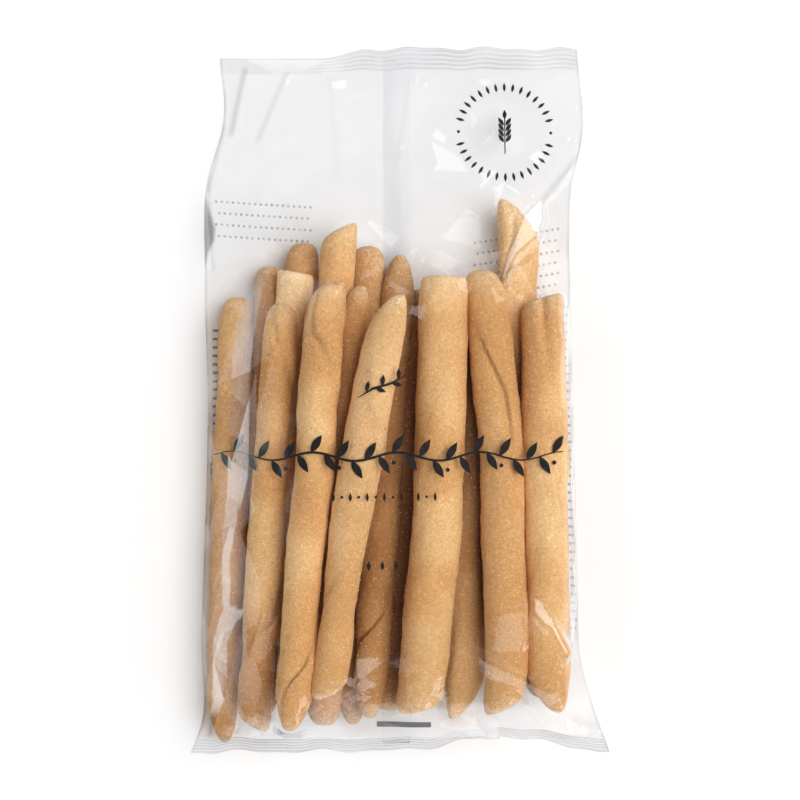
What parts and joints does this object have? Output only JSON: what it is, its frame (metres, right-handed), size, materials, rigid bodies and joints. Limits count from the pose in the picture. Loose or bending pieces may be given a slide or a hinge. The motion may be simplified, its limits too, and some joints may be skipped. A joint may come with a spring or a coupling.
{
  "type": "clear bag of breadsticks",
  "caption": "Clear sealed film bag filled with short hand-rolled breadsticks, lying on its back, crimped seals at both ends, simple black print.",
  "frame": {"origin": "centre of the bounding box at the bottom, where the bag's back lies on the table", "axes": "+Z out of the printed front, +Y towards the top seal, X across the bag"},
  "size_m": [0.114, 0.1928, 0.0336],
  "materials": {
    "film": "clear glossy packing film, lightly wrinkled",
    "bread": "dry baked crust, matte and finely grained, golden tan",
    "print": "black and grey ink printed on the film"
  },
  "bodies": {
    "root": {"bag": "film"}
  },
  "joints": []
}
